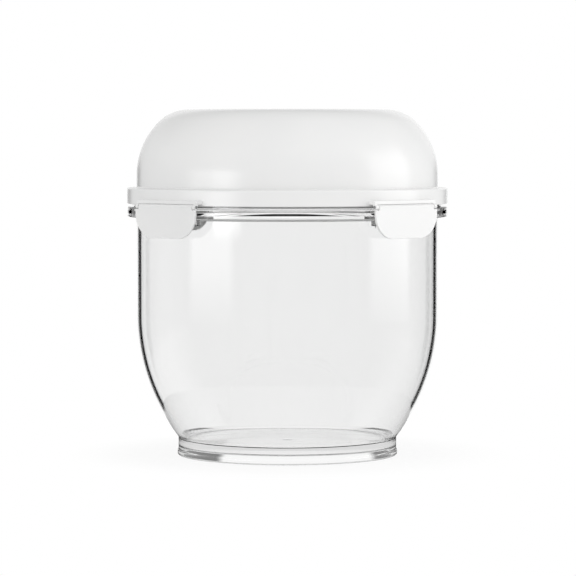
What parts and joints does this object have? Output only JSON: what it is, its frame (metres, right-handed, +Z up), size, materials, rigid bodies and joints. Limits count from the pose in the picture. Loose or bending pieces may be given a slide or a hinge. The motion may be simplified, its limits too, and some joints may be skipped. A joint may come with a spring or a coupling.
{
  "type": "dough proofing container",
  "caption": "Clear bell-shaped proofing bowl on a foot ring, with a domed white lid, a seal ring and hinged latch flaps that hook under lugs on the rim.",
  "frame": {"origin": "centre of the foot's underside", "axes": "+Z up along the bowl's axis, front towards -Y, with a latch at each diagonal"},
  "size_m": [0.208, 0.208, 0.224],
  "materials": {
    "clear_plastic": "clear moulded plastic, polished",
    "white_plastic": "white moulded plastic, gloss",
    "silicone": "translucent silicone rubber",
    "pin_steel": "drawn steel wire"
  },
  "bodies": {
    "bowl": {"bowl": "clear_plastic"},
    "lid": {"lid": "white_plastic", "seal_ring": "silicone", "pin_front_left": "pin_steel", "pin_front_right": "pin_steel", "pin_rear_left": "pin_steel", "pin_rear_right": "pin_steel"},
    "latch_front_left": {"latch_front_left": "white_plastic"},
    "latch_front_right": {"latch_front_right": "white_plastic"},
    "latch_rear_left": {"latch_rear_left": "white_plastic"},
    "latch_rear_right": {"latch_rear_right": "white_plastic"}
  },
  "joints": [
    {"name": "lid_lift", "type": "slide", "parent": "bowl", "child": "lid", "axis": [0, 0, 1], "range_m": [0, 0.11]},
    {"name": "latch_front_left_swing", "type": "hinge", "parent": "lid", "child": "latch_front_left", "pos_m": [-0.07474, -0.07474, 0.1629], "axis": [-0.7071, 0.7071, 0], "range_deg": [0, 110]},
    {"name": "latch_front_right_swing", "type": "hinge", "parent": "lid", "child": "latch_front_right", "pos_m": [0.07474, -0.07474, 0.1629], "axis": [-0.7071, -0.7071, 0], "range_deg": [0, 110]},
    {"name": "latch_rear_left_swing", "type": "hinge", "parent": "lid", "child": "latch_rear_left", "pos_m": [-0.07474, 0.07474, 0.1629], "axis": [0.7071, 0.7071, 0], "range_deg": [0, 110]},
    {"name": "latch_rear_right_swing", "type": "hinge", "parent": "lid", "child": "latch_rear_right", "pos_m": [0.07474, 0.07474, 0.1629], "axis": [0.7071, -0.7071, 0], "range_deg": [0, 110]}
  ]
}
